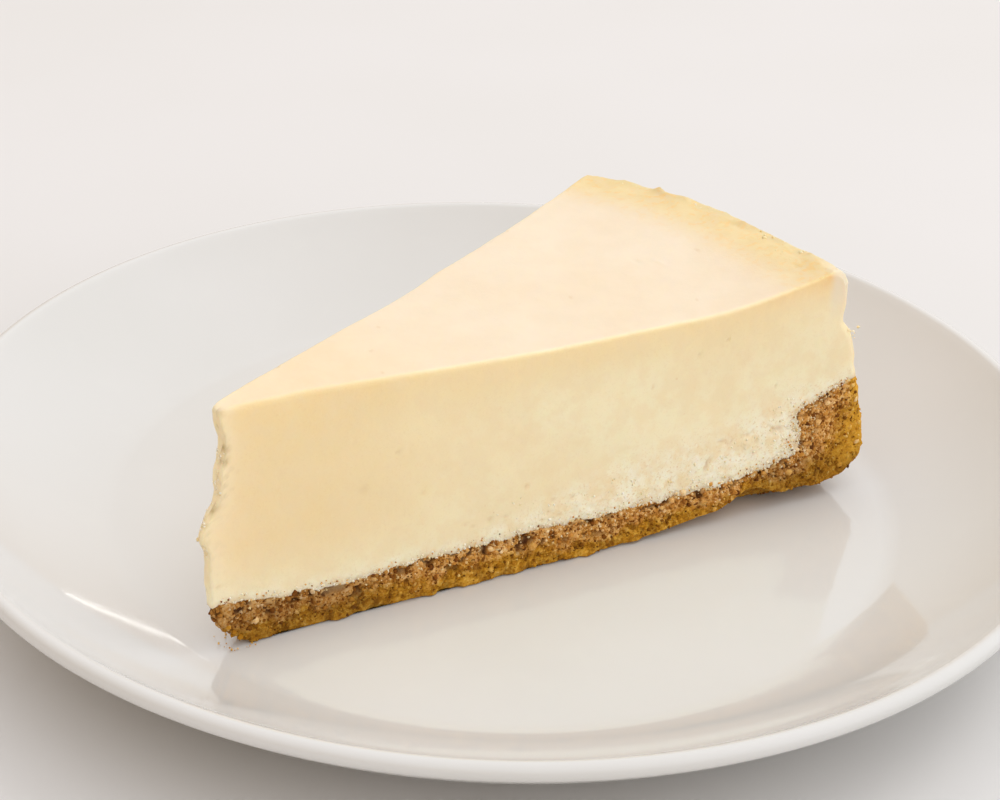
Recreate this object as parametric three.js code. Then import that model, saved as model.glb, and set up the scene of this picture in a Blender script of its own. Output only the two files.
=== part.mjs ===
// A slice of baked cheesecake on a round white coupe plate.
// Millimetres, +Z up. The origin is the centre of the plate's foot, on the surface that the plate
// stands on. The slice points its tip to the left and towards the viewer, who looks along +Y.
import * as THREE from 'three';

// Plate: a flat well, a soft crease and a wall that steepens up to a rounded lip
const PLATE_RADIUS = 105;
const WELL_HEIGHT = 6;
const WELL_RADIUS = 72;
const PLATE_THICKNESS = 3.2;
const CREASE_RADIUS = 14;
const CREASE_SLOPE = THREE.MathUtils.degToRad(17);
const RIM_SLOPE = THREE.MathUtils.degToRad(43);
const FOOT_OUTER_RADIUS = 60;
const FOOT_WIDTH = 5;
const FOOT_DRAFT = 1.5;
const FOOT_RECESS = 2.2;
const PLATE_SEGMENTS = 72;
const UNDER_STEPS = { crease: 2, wall: 5 };
const INNER_STEPS = { crease: 3, wall: 6 };
const LIP_STEPS = 5;

// Slice: its place on the plate and the wedge that was cut
const TIP_X = -45.9;
const TIP_Y = -54;
const WEDGE_ANGLE = THREE.MathUtils.degToRad(31.3);
const WEDGE_HEADING = THREE.MathUtils.degToRad(44.15);
const TIP_HALF_WIDTH = 1.1;
const REST_GAP = 0.3;
const LAYER_GAP = 0.3;

// Baked side: the pan's wall, from which the cake drew in towards the top, and the browned lip
// that stands out over a slight neck
const BASE_RADIUS = 130.5;
const SIDE_FLARE = 9;
const SIDE_FOOT = 8;
const SIDE_RISE = 40;
const SIDE_POWER = 1.4;
const LIP_BULGE = 1.2;
const LIP_HEIGHT = 46;
const LIP_SPREAD = 3.2;
const NECK_DEPTH = 1.3;
const NECK_HEIGHT = 37;
const NECK_SPREAD = 2.4;
const FAR_CORNER_ROUND = 5;
const NEAR_CORNER_ROUND = 1.2;

// Filling: height, the rise towards the far cut face, the sunken middle and the raised baked rim
const TOP_HEIGHT = 45.8;
const TOP_TILT = 0.4;
const TOP_SAG = 1.8;
const SAG_START = 8;
const SAG_END = 62;
const RIM_RISE = 2.3;
const RIM_PEAK = 1.2;
const RIM_FALL = 1.55;
const RIM_WIDTH = 0.5;
const RIM_START = 94;
const RIM_END = 120;
const RIM_POWER = 1.5;
const TOP_EDGE_ROUND = 2.4;
const TIP_LEDGE = 2.7;
const TIP_LEDGE_LOW = 24.5;
const TIP_LEDGE_HIGH = 31;
const TIP_NICK = 0.9;
const TIP_NICK_HEIGHT = 39;
const TIP_NICK_SPREAD = 3.5;
const TIP_CRUMB = 1.3;
const TIP_CRUMB_HEIGHT = 22.8;
const TIP_CRUMB_SPREAD = 2.2;
const TIP_TOP_DROP = 1;
const TIP_TOP_REACH = 1.2;
const TIP_REACH = 5;

// Crumb crust: a slab with a collar that climbs the baked side. The collar's inner face passes
// these radii and heights in the section: a low slope, a steep wall and a ledge, which runs out
// at the collar's own height.
const CRUST_THICKNESS = 7.6;
const COLLAR_START = 98;
const COLLAR_FACE_RADII = [COLLAR_START, 108, 115, 116.4, 115.4, 121];
const COLLAR_FACE_HEIGHTS = [CRUST_THICKNESS, 9.4, 11.2, 14.6, 19.4, 22.4];
const COLLAR_HEIGHT = 25.6;
const COLLAR_UNEVEN = 1.8;
const COLLAR_WAVES = 5;
const COLLAR_EDGE = 1.3;
const COLLAR_STAND = 0.6;
const COLLAR_STAND_FADE = 6;
const CRUST_CORNER = 10;
const CRUST_TIP_OVERHANG = 1.8;
const CRUST_TIP_CHAMFER = 6.5;
const CRUST_TIP_POWER = 1.3;
const CRUST_TIP_REACH = 8;
const CRUMBLE_START = 73;
const CRUMBLE_END = 108;
const CRUMBLE_LIFT = 3;
const CRUMBLE_DEPTH = 5;
const NOTCH_RADIUS = 106;
const NOTCH_SPREAD = 4.5;
const NOTCH_LIFT = 2.6;

// Relief: how far each skin stands off its smooth form, and how large its lumps are
const CUT_RELIEF = 0.22;
const CUT_LUMP = 9;
const TIP_RELIEF = 0.55;
const TIP_LUMP = 3.6;
const TOP_RELIEF = 0.18;
const TOP_LUMP = 16;
const RIM_CRAG = 0.7;
const RIM_CRAG_BAND = 4;
const SIDE_RELIEF = 0.45;
const SIDE_LUMP = 5;
const CRUMB_RELIEF = 0.75;
const CRUMB_LUMP = 3.4;
const LAYER_EDGE_CALM = 0.6;
const PRESSED_SIDE_CALM = 0.4;
const LAYER_RELIEF = 0.7;
const LAYER_LUMP = 4.4;
const SEED = { collar: 12, layer: 21, cut: 31, tip: 41, side: 51, crag: 61, top: 71, crumb: 81 };

// Grid of the slice's skins. The last five shape how its lines crowd towards the outer side, the
// rounded corners and the top, and how they lean and rise from the collar.
const SLAB_COLUMNS = 30;
const COLLAR_COLUMNS = 20;
const ROWS = 14;
const FILLING_LAYERS = 12;
const CRUST_LAYERS = 4;
const SLAB_SHARE = SLAB_COLUMNS / (SLAB_COLUMNS + COLLAR_COLUMNS);
const OUTER_FOCUS = 20;
const CORNER_FOCUS = 5;
const TOP_LAG = 1.6;
const LEAN_POWER = 4;
const RISE_POWER = 1.3;

const HALF_WEDGE = WEDGE_ANGLE / 2;
const HASH_FACTORS = [374761393, 668265263, 1103515245, 1013904223];
const HASH_MIX = 1274126177;
const HASH_HALF = 2147483648;

const { clamp, lerp, smoothstep } = THREE.MathUtils;

function hump(value, centre, spread) {
  return Math.exp(-(((value - centre) / spread) ** 2));
}

// Seeded value noise, -1 to 1: random heights on a unit lattice, blended smoothly between points
function latticeValue(ix, iy, iz, seed) {
  let hash = Math.imul(ix, HASH_FACTORS[0]) ^ Math.imul(iy, HASH_FACTORS[1]);
  hash ^= Math.imul(iz, HASH_FACTORS[2]) ^ Math.imul(seed, HASH_FACTORS[3]);
  hash = Math.imul(hash ^ (hash >>> 13), HASH_MIX);
  return ((hash ^ (hash >>> 16)) >>> 0) / HASH_HALF - 1;
}

function noise(x, y, z, seed) {
  const cell = [x, y, z].map(Math.floor);
  const [fx, fy, fz] = [x, y, z].map((value, axis) => smoothstep(value - cell[axis], 0, 1));
  let sum = 0;
  for (let corner = 0; corner < 8; corner += 1) {
    const cx = corner & 1;
    const cy = (corner >> 1) & 1;
    const cz = corner >> 2;
    const weight = (cx ? fx : 1 - fx) * (cy ? fy : 1 - fy) * (cz ? fz : 1 - fz);
    sum += weight * latticeValue(cell[0] + cx, cell[1] + cy, cell[2] + cz, seed);
  }
  return sum;
}

// Two sizes of lump, the smaller half as large and half as high
function lumps(x, y, z, size, seed) {
  const coarse = noise(x / size, y / size, z / size, seed);
  const fine = noise((2 * x) / size, (2 * y) / size, (2 * z) / size, seed + 1);
  return (2 * coarse + fine) / 3;
}

// Radius of the baked side at a height above the crust's underside
function sideRadius(z) {
  const drawn = SIDE_FLARE * clamp((z - SIDE_FOOT) / SIDE_RISE, 0, 1) ** SIDE_POWER;
  const lip = LIP_BULGE * hump(z, LIP_HEIGHT, LIP_SPREAD);
  return BASE_RADIUS - drawn + lip - NECK_DEPTH * hump(z, NECK_HEIGHT, NECK_SPREAD);
}

// Height of the filling's top: sunken past the tip, then up to the baked rim and over its edge.
// The rim peaks at the near cut face and falls at the far one.
function topHeight(r, v) {
  const edge = sideRadius(TOP_HEIGHT);
  const sag = TOP_SAG * smoothstep(r, SAG_START, SAG_END);
  const tilt = TOP_TILT * (1 + v);
  const crest = RIM_RISE + RIM_PEAK * hump(v, -1, RIM_WIDTH) - RIM_FALL * hump(v, 1, RIM_WIDTH);
  const rim = crest * clamp((r - RIM_START) / (RIM_END - RIM_START), 0, 1) ** RIM_POWER;
  const over = clamp((r - edge + TOP_EDGE_ROUND) / TOP_EDGE_ROUND, 0, 1);
  const round = TOP_EDGE_ROUND * (1 - Math.sqrt(1 - over * over));
  return TOP_HEIGHT - sag + tilt + rim - round - TIP_TOP_DROP * Math.exp(-r / TIP_TOP_REACH);
}

function collarHeight(v) {
  return COLLAR_HEIGHT + COLLAR_UNEVEN * noise(COLLAR_WAVES * v, 0, 0, SEED.collar);
}

// Half width of the wedge at a radius, blunt at the tip
function halfWidth(r) {
  const sharp = r * Math.sin(HALF_WEDGE);
  return (sharp + Math.sqrt(sharp * sharp + 4 * TIP_HALF_WIDTH * TIP_HALF_WIDTH)) / 2;
}

// How far the grid draws in where the side rounds off towards the two cut faces, by a quarter
// circle
function cornerInset(s, v) {
  const size = v > 0 ? FAR_CORNER_ROUND : NEAR_CORNER_ROUND;
  const into = clamp(1 - ((1 - Math.abs(v)) * halfWidth(BASE_RADIUS)) / size, 0, 1);
  return size * (1 - Math.sqrt(1 - into * into)) * s ** CORNER_FOCUS;
}

// Smooth point of the wedge from radius, height and v, which runs -1 to 1 between the cut faces
function wedgePoint(r, z, v) {
  const angle = v * HALF_WEDGE;
  const y = (halfWidth(r) * Math.sin(angle)) / Math.sin(HALF_WEDGE);
  return new THREE.Vector3(r * Math.cos(angle), y, z);
}

// Line between crust and filling in the section: flat slab, then the collar's inner face.
// The offset moves it along its own normal, up into the filling or down into the crust.
function layerSection(s, v, offset) {
  const climb = clamp((s - SLAB_SHARE) / (1 - SLAB_SHARE), 0, 1);
  const top = collarHeight(v);
  const end = sideRadius(top) - COLLAR_EDGE;
  const points = [...COLLAR_FACE_RADII, end].map((radius, number) => {
    return new THREE.Vector2(radius, [...COLLAR_FACE_HEIGHTS, top][number]);
  });
  const face = new THREE.SplineCurve(points);
  const along = face.getTangent(climb);
  const { x: faceRadius, y: z } = face.getPoint(climb);
  const r = climb > 0 ? faceRadius : (COLLAR_START * s) / SLAB_SHARE;
  const base = wedgePoint(r, 0, v);
  const lump = (1 - climb * climb) * lumps(base.x, base.y, z, LAYER_LUMP, SEED.layer);
  const step = offset + LAYER_RELIEF * lump;
  return { r: r - cornerInset(s, v) - along.y * step, z: z + along.x * step };
}

// Top of the filling in the section, from the tip to the rounded outer edge
function topSection(s, v) {
  const edge = sideRadius(TOP_HEIGHT);
  const climb = clamp((s - SLAB_SHARE) / (1 - SLAB_SHARE), 0, 1);
  const flat = COLLAR_START * Math.min(s / SLAB_SHARE, 1);
  const r = flat + (edge - COLLAR_START) * climb ** TOP_LAG;
  return { r, z: topHeight(r, v) };
}

// Underside of the crust in the section: flat, round the outer corner and up the baked side
function undersideSection(s, v) {
  if (s <= SLAB_SHARE) return { r: (COLLAR_START * s) / SLAB_SHARE, z: 0 };
  const flat = BASE_RADIUS - CRUST_CORNER - COLLAR_START;
  const bend = (CRUST_CORNER * Math.PI) / 2;
  const wall = collarHeight(v) - CRUST_CORNER;
  const along = ((s - SLAB_SHARE) / (1 - SLAB_SHARE)) * (flat + bend + wall);
  if (along <= flat) return { r: COLLAR_START + along, z: 0 };
  if (along <= flat + bend) {
    const turn = (along - flat) / CRUST_CORNER;
    const stand = COLLAR_STAND * Math.sin(turn);
    const r = BASE_RADIUS - CRUST_CORNER * (1 - Math.sin(turn)) + stand;
    return { r, z: CRUST_CORNER * (1 - Math.cos(turn)) };
  }
  const z = CRUST_CORNER + along - flat - bend;
  const stand = COLLAR_STAND * smoothstep(collarHeight(v) - z, 0, COLLAR_STAND_FADE);
  return { r: sideRadius(z) + stand, z };
}

// How far the tip of the filling stands out at a height: a torn ledge, a nick and a stuck crumb
function fillingTip(z) {
  const ledge = TIP_LEDGE * (1 - smoothstep(z, TIP_LEDGE_LOW, TIP_LEDGE_HIGH));
  const nick = TIP_NICK * hump(z, TIP_NICK_HEIGHT, TIP_NICK_SPREAD);
  return nick - ledge - TIP_CRUMB * hump(z, TIP_CRUMB_HEIGHT, TIP_CRUMB_SPREAD);
}

// The same for the crust, which is broken away towards its underside
function crustTip(z) {
  const depth = clamp(1 - z / CRUST_THICKNESS, 0, 1);
  return CRUST_TIP_CHAMFER * depth ** CRUST_TIP_POWER - CRUST_TIP_OVERHANG;
}

// How far the crust's underside is crumbled away at the near cut face, with one deeper notch
function crumbleLift({ r, z }, v) {
  const inward = (1 + v) * halfWidth(r);
  const along = CRUMBLE_LIFT * smoothstep(r, CRUMBLE_START, CRUMBLE_END);
  const notch = NOTCH_LIFT * hump(r, NOTCH_RADIUS, NOTCH_SPREAD);
  const fade = clamp(1 - z / CRUST_THICKNESS, 0, 1);
  return (along + notch) * fade * hump(inward, 0, CRUMBLE_DEPTH);
}

// Moves a point out of each skin that it lies on, by that skin's relief
function raise(point, v, relief) {
  const angle = v * HALF_WEDGE;
  const moved = point.clone();
  moved.x += relief.side * Math.cos(angle) - relief.tip - relief.cut * Math.sin(HALF_WEDGE);
  moved.y += relief.side * Math.sin(angle) + relief.cut * Math.cos(HALF_WEDGE) * Math.sign(v);
  moved.z += relief.top;
  return moved;
}

// Point of the filling from its three grid shares: along, across and up. The grid's upright
// lines set off inwards, square to the collar, and then bend upwards.
function fillingPoint(s, v, t) {
  const low = layerSection(s, v, LAYER_GAP / 2);
  const high = topSection(s, v);
  const z = lerp(low.z, high.z, t ** RISE_POWER);
  const lean = 1 - (1 - t) ** LEAN_POWER;
  const foot = sideRadius(collarHeight(v)) - COLLAR_EDGE;
  const straight = lerp(foot, sideRadius(TOP_HEIGHT), lean);
  const bulge = t > 0 ? (sideRadius(z) - straight) * s ** OUTER_FOCUS : 0;
  const r = lerp(low.r, high.r, lean) + bulge - cornerInset(s, v) * lean;
  const smooth = wedgePoint(r + fillingTip(z) * Math.exp(-r / TIP_REACH), z, v);
  const { x, y } = smooth;
  const cut = Math.abs(v) === 1 ? CUT_RELIEF * lumps(x, y, z, CUT_LUMP, SEED.cut) : 0;
  const tip = s === 0 ? TIP_RELIEF * lumps(x, y, z, TIP_LUMP, SEED.tip) : 0;
  const side = s === 1 && t > 0 ? SIDE_RELIEF * lumps(x, y, z, SIDE_LUMP, SEED.side) : 0;
  const band = smoothstep(r, RIM_END - RIM_CRAG_BAND, RIM_END);
  const crag = RIM_CRAG * lumps(x, y, z, SIDE_LUMP, SEED.crag) * band;
  const top = t === 1 ? TOP_RELIEF * lumps(x, y, 0, TOP_LUMP, SEED.top) + crag : 0;
  return raise(smooth, v, { cut, tip, side, top });
}

// Point of the crust from its three grid shares
function crustPoint(s, v, t) {
  const low = undersideSection(s, v);
  const high = layerSection(s, v, -LAYER_GAP / 2);
  const z = lerp(low.z, high.z, t);
  const r = lerp(low.r, high.r, t) - cornerInset(s, v) * (1 - t);
  const lifted = z + crumbleLift(low, v) * (1 - t);
  const smooth = wedgePoint(r + crustTip(z) * Math.exp(-r / CRUST_TIP_REACH), lifted, v);
  const { x, y } = smooth;
  const crumbs = CRUMB_RELIEF * lumps(x, y, lifted, CRUMB_LUMP, SEED.crumb);
  const cut = Math.abs(v) === 1 ? crumbs * (1 - LAYER_EDGE_CALM * t) : 0;
  const tip = s === 0 ? crumbs : 0;
  const outside = t === 0 ? smoothstep(r, BASE_RADIUS - CRUST_CORNER, BASE_RADIUS) : 0;
  const side = crumbs * (1 - PRESSED_SIDE_CALM) * outside;
  return raise(smooth, v, { cut, tip, side, top: 0 });
}

// Skin of a block of the wedge. place(s, v, t) gives a point for the shares along, across and
// up. Only points on the six faces are made, and neighbouring faces share their edge points.
// A flipped panel keeps the diagonal of each quad, so that facing blocks have the same facets.
function blockGeometry(layers, place) {
  const columns = SLAB_COLUMNS + COLLAR_COLUMNS;
  const positions = [];
  const numbers = new Map();
  const at = (i, j, k) => {
    const key = (i * (ROWS + 1) + j) * (layers + 1) + k;
    if (!numbers.has(key)) {
      numbers.set(key, positions.length / 3);
      const v = -Math.cos((Math.PI * j) / ROWS);
      positions.push(...place(i / columns, v, k / layers).toArray());
    }
    return numbers.get(key);
  };
  const triangles = [];
  const panel = (countA, countB, corner, flip) => {
    for (let a = 0; a < countA; a += 1) {
      for (let b = 0; b < countB; b += 1) {
        const [start, end] = [corner(a, b), corner(a + 1, b + 1)];
        const [right, left] = [corner(a + 1, b), corner(a, b + 1)];
        if (flip) triangles.push(start, left, end, start, end, right);
        else triangles.push(start, right, end, start, end, left);
      }
    }
  };
  panel(columns, ROWS, (i, j) => at(i, j, layers), false);
  panel(columns, ROWS, (i, j) => at(i, j, 0), true);
  panel(columns, layers, (i, k) => at(i, 0, k), false);
  panel(columns, layers, (i, k) => at(i, ROWS, k), true);
  panel(ROWS, layers, (j, k) => at(columns, j, k), false);
  panel(ROWS, layers, (j, k) => at(0, j, k), true);
  const geometry = new THREE.BufferGeometry();
  geometry.setAttribute('position', new THREE.Float32BufferAttribute(positions, 3));
  geometry.setIndex(triangles);
  geometry.computeVertexNormals();
  return geometry;
}

// Section of the plate's wall at a depth under its upper face: the crease arc, then the wide
// wall arc, which meets the lip at the rim's slope
function wallSection(depth, steps) {
  const points = [];
  const creaseHeight = WELL_HEIGHT + CREASE_RADIUS;
  const creaseEnd = WELL_RADIUS + CREASE_RADIUS * Math.sin(CREASE_SLOPE);
  const lipStart = PLATE_RADIUS - (PLATE_THICKNESS / 2) * (1 + Math.sin(RIM_SLOPE));
  const wallRadius = (lipStart - creaseEnd) / (Math.sin(RIM_SLOPE) - Math.sin(CREASE_SLOPE));
  const wallCentreR = creaseEnd - wallRadius * Math.sin(CREASE_SLOPE);
  const wallCentreZ = creaseHeight + (wallRadius - CREASE_RADIUS) * Math.cos(CREASE_SLOPE);
  for (let step = 0; step <= steps.crease; step += 1) {
    const slope = (CREASE_SLOPE * step) / steps.crease;
    const reach = CREASE_RADIUS + depth;
    const r = WELL_RADIUS + reach * Math.sin(slope);
    points.push(new THREE.Vector2(r, creaseHeight - reach * Math.cos(slope)));
  }
  for (let step = 1; step <= steps.wall; step += 1) {
    const slope = lerp(CREASE_SLOPE, RIM_SLOPE, step / steps.wall);
    const reach = wallRadius + depth;
    const r = wallCentreR + reach * Math.sin(slope);
    points.push(new THREE.Vector2(r, wallCentreZ - reach * Math.cos(slope)));
  }
  return points;
}

// Plate profile, from the axis under the foot, out round the lip and back to the axis
function plateGeometry() {
  const underHeight = WELL_HEIGHT - PLATE_THICKNESS;
  const footInner = FOOT_OUTER_RADIUS - FOOT_WIDTH;
  const under = wallSection(PLATE_THICKNESS, UNDER_STEPS);
  const inner = wallSection(0, INNER_STEPS).reverse();
  const lip = [];
  const middle = under[under.length - 1].clone().lerp(inner[0], 1 / 2);
  for (let step = 1; step < LIP_STEPS; step += 1) {
    const turn = RIM_SLOPE - Math.PI / 2 + (Math.PI * step) / LIP_STEPS;
    const spoke = new THREE.Vector2(Math.cos(turn), Math.sin(turn));
    lip.push(middle.clone().addScaledVector(spoke, PLATE_THICKNESS / 2));
  }
  const profile = [
    new THREE.Vector2(0, FOOT_RECESS),
    new THREE.Vector2(footInner - FOOT_DRAFT, FOOT_RECESS),
    new THREE.Vector2(footInner, 0),
    new THREE.Vector2(FOOT_OUTER_RADIUS - FOOT_DRAFT, 0),
    new THREE.Vector2(FOOT_OUTER_RADIUS, underHeight),
    ...under,
    ...lip,
    ...inner,
    new THREE.Vector2(0, WELL_HEIGHT),
  ];
  const geometry = new THREE.LatheGeometry(profile, PLATE_SEGMENTS);
  geometry.rotateX(Math.PI / 2);
  return geometry;
}

function finish(color, roughness) {
  return new THREE.MeshStandardMaterial({ color, roughness, metalness: 0 });
}

function piece(name, geometry, material) {
  const mesh = new THREE.Mesh(geometry, material);
  mesh.name = name;
  return mesh;
}

const slice = new THREE.Group();
slice.position.set(TIP_X, TIP_Y, WELL_HEIGHT + REST_GAP);
slice.rotation.z = WEDGE_HEADING;
slice.add(piece('filling', blockGeometry(FILLING_LAYERS, fillingPoint), finish(0xf4e2b8, 0.55)));
slice.add(piece('crust', blockGeometry(CRUST_LAYERS, crustPoint), finish(0x9a6a2c, 0.85)));

const plated = new THREE.Group();
plated.add(piece('plate', plateGeometry(), finish(0xe8e4dd, 0.12)));
plated.add(slice);

export default plated;
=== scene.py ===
import math

import bpy
import numpy as np
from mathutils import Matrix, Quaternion, Vector


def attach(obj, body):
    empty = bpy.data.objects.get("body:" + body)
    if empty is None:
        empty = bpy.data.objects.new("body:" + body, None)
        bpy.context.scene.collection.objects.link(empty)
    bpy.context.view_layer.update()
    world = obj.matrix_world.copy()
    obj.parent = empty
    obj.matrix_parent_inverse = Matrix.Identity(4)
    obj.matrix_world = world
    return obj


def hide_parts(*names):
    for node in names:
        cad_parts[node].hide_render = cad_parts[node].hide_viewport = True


# A slice of baked cheesecake on a round white plate. The shape functions work in millimetres,
# in arrays, and meshPiece() turns the result into metres.
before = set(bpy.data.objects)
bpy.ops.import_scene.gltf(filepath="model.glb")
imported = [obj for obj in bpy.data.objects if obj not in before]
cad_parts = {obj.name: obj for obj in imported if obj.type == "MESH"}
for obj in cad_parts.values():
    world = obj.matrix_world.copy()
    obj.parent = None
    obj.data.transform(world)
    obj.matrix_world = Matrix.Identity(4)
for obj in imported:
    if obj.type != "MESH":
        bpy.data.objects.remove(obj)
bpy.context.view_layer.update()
millimetre = 0.001

camera = {
    "lens": 79.2,
    "sensor": 36,
    "distance": 466.54,
    "elevation": 28.265,
    "roll": 2.222,
    "target": (-0.72, 49.55, 0),
}

studio = {
    # the room is one soft glow: bright and neutral from above on the right, dim and warm from
    # below on the left
    "glowAzimuth": 0,
    "glowElevation": 60,
    "glowFade": (-0.62, 0.78),
    "brightSky": (250, 250, 253),
    "dimSky": (255, 208, 140),
    "brightStrength": 1.28,
    "dimStrength": 0.25,
    "lights": {
        "keyLight": {
            "azimuth": 20, "elevation": 56, "distance": 1.7, "lean": 0, "glossy": False,
            "size": (0.7, 0.7), "power": 3.2, "tint": (255, 252, 246),
        },
        # a narrow bright gap beside a window, low behind the slice and leaning a little
        "windowStrip": {
            "azimuth": 88.9, "elevation": 10.5, "distance": 2.0, "lean": 19, "glossy": True,
            "size": (0.004, 0.46), "power": 0.085, "tint": (255, 255, 255),
        },
    },
    "floorSize": 6.0,
    "floorDepth": 0.02,
    "floorColours": ((223, 222, 221), (221, 220, 218)),
}


class Wire:
    # One socket of a node tree. Sums, differences and products of wires and numbers add Math
    # nodes, and node() adds any other node.
    def __init__(self, tree, socket=None):
        self.tree = tree
        self.socket = socket

    def node(self, kind, settings=None, sockets=None, output=0):
        made = self.tree.nodes.new(kind)
        for name, value in (settings or {}).items():
            if name == "stops":
                fillRamp(made.color_ramp, value)
            else:
                setattr(made, name, value)
        for name, value in (sockets or {}).items():
            if isinstance(value, Wire):
                self.tree.links.new(value.socket, made.inputs[name])
            else:
                made.inputs[name].default_value = value
        return Wire(self.tree, made.outputs[output] if made.outputs else None)

    def maths(self, operation, first, second):
        return self.node("ShaderNodeMath", {"operation": operation}, {0: first, 1: second})

    def __add__(self, other):
        return self.maths("ADD", self, other)

    def __sub__(self, other):
        return self.maths("SUBTRACT", self, other)

    def __rsub__(self, other):
        return self.maths("SUBTRACT", other, self)

    def __mul__(self, other):
        return self.maths("MULTIPLY", self, other)

    __radd__, __rmul__ = __add__, __mul__

    def ramp(self, low, high):
        # 0 below low, 1 above high, smooth between
        sockets = {"Value": self, "From Min": low, "From Max": high}
        return self.node("ShaderNodeMapRange", {"interpolation_type": "SMOOTHSTEP"}, sockets)


def colour(red, green, blue):
    # display values 0-255 to the linear values that a shader takes
    linear = [((c / 255 + 0.055) / 1.055) ** 2.4 for c in (red, green, blue)]
    return (*linear, 1)


def fillRamp(ramp, stops):
    while len(ramp.elements) < len(stops):
        ramp.elements.new(0.5)
    for element, (place, tint) in zip(ramp.elements, stops):
        element.position = place
        element.color = colour(*tint)


def newMaterial(name):
    # the material, its empty node tree and the place on the object
    material = bpy.data.materials.new(name)
    material.use_nodes = True
    material.node_tree.nodes.clear()
    paint = Wire(material.node_tree)
    return material, paint, paint.node("ShaderNodeTexCoord", output=3)


def blend(paint, share, first, second):
    # two colours, each a wire or three display values
    first, second = [c if isinstance(c, Wire) else colour(*c) for c in (first, second)]
    return paint.node("ShaderNodeMix", {"data_type": "RGBA"}, {0: share, 6: first, 7: second}, 2)


def coats(paint, base, layers):
    for share, tint in layers:
        base = blend(paint, share, base, tint)
    return base


def mottle(where, size, detail=2, rough=0.5):
    # soft noise, 0 to 1, with blotches about this many millimetres across
    scale = 1 / (size * millimetre)
    sockets = {"Vector": where, "Scale": scale, "Detail": detail, "Roughness": rough}
    return where.node("ShaderNodeTexNoise", None, sockets)


def spots(where, size, output):
    # distance from scattered points about this many millimetres apart (0), or their colour (1)
    sockets = {"Vector": where, "Scale": 1 / (size * millimetre)}
    return where.node("ShaderNodeTexVoronoi", None, sockets, output)


def painted(paint, name):
    # a value that the shape functions left on the mesh
    return paint.node("ShaderNodeAttribute", {"attribute_name": name}, output=2)


def bumps(paint, strength, distance, height):
    sockets = {"Strength": strength, "Distance": distance * millimetre, "Height": height}
    return paint.node("ShaderNodeBump", None, sockets)


def finishMaterial(paint, sockets):
    shader = paint.node("ShaderNodeBsdfPrincipled", None, sockets)
    paint.node("ShaderNodeOutputMaterial", None, {"Surface": shader})


def meshPiece(name, points, faces, values, material, smooth=True):
    # points in millimetres to a mesh in metres, with its own values kept at the corners. faces
    # is a list of arrays of faces.
    rows = sum([part.tolist() for part in faces], [])
    mesh = bpy.data.meshes.new(name)
    mesh.from_pydata((points * millimetre).tolist(), [], rows)
    mesh.polygons.foreach_set("use_smooth", np.full(len(rows), smooth))
    for label, value in values.items():
        layer = mesh.attributes.new(label, "FLOAT", "POINT")
        layer.data.foreach_set("value", value.astype(np.float32))
    mesh.materials.append(material)
    piece = bpy.data.objects.new(name, mesh)
    bpy.context.scene.collection.objects.link(piece)
    return piece


def addPiece(name, shape, material, node, stands=False):
    # shape holds the points, the faces and their values
    piece = meshPiece(name, *shape, material)
    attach(piece, "root")
    if stands:
        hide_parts(node)
    print("made", piece.name, len(piece.data.polygons), "faces")


hashFactors = (374761393, 668265263, 1103515245, 1013904223)
hashMix = 1274126177
wordSize = 4294967296


def latticeValue(ix, iy, iz, seed):
    # an integer hash of the lattice point, spread over -1 to 1
    words = [np.asarray(i).astype(np.int64) % wordSize for i in (ix, iy, iz)]
    total = words[0] * hashFactors[0] % wordSize ^ words[1] * hashFactors[1] % wordSize
    total ^= words[2] * hashFactors[2] % wordSize ^ seed * hashFactors[3] % wordSize
    total = (total ^ (total >> 13)) * hashMix % wordSize
    return (total ^ (total >> 16)) * 2 / wordSize - 1


def ease(value, low, high):
    # smooth step: 0 below low, 1 above high
    share = np.clip((value - low) / (high - low), 0, 1)
    return share * share * (3 - 2 * share)


def hump(value, centre, spread):
    return np.exp(-(((value - centre) / spread) ** 2))


def blob(across, up, reach):
    return np.exp(-((across**2 + up**2) / reach**2))


def noise(point, size, seed):
    # random heights on a lattice, blended smoothly between the eight nearest of its points.
    # point holds the arrays x, y and z, and size is the lattice's step.
    place = [c / size for c in point]
    cell = [np.floor(c) for c in place]
    part = [ease(c - f, 0, 1) for c, f in zip(place, cell)]
    total = 0
    for corner in range(8):
        step = (corner & 1, (corner >> 1) & 1, corner >> 2)
        weight = 1
        for share, one in zip(part, step):
            weight = weight * (share if one else 1 - share)
        total = total + weight * latticeValue(*[c + s for c, s in zip(cell, step)], seed)
    return total


def lumps(point, size, seed):
    # two sizes of lump, the smaller half as large and half as high
    return (2 * noise(point, size, seed) + noise(point, size / 2, seed + 1)) / 3


def pebbles(point, size, seed):
    # distance to the nearest of the scattered points, one in each cell of this size,
    # as a share of the cell, and that point's own random value
    place = [np.asarray(c) / size for c in point]
    cell = [np.floor(c) for c in place]
    nearest = np.full(np.shape(place[0]), 9.0)
    value = np.zeros(np.shape(place[0]))
    for number in range(27):
        step = (number % 3 - 1, number // 3 % 3 - 1, number // 9 - 1)
        home = [c + s for c, s in zip(cell, step)]
        away = 0
        for axis in range(3):
            jitter = 0.5 + 0.45 * latticeValue(*home, seed + axis)
            away = away + (home[axis] + jitter - place[axis]) ** 2
        closer = away < nearest
        nearest = np.where(closer, away, nearest)
        value = np.where(closer, latticeValue(*home, seed + 3), value)
    return np.sqrt(nearest), value


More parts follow.
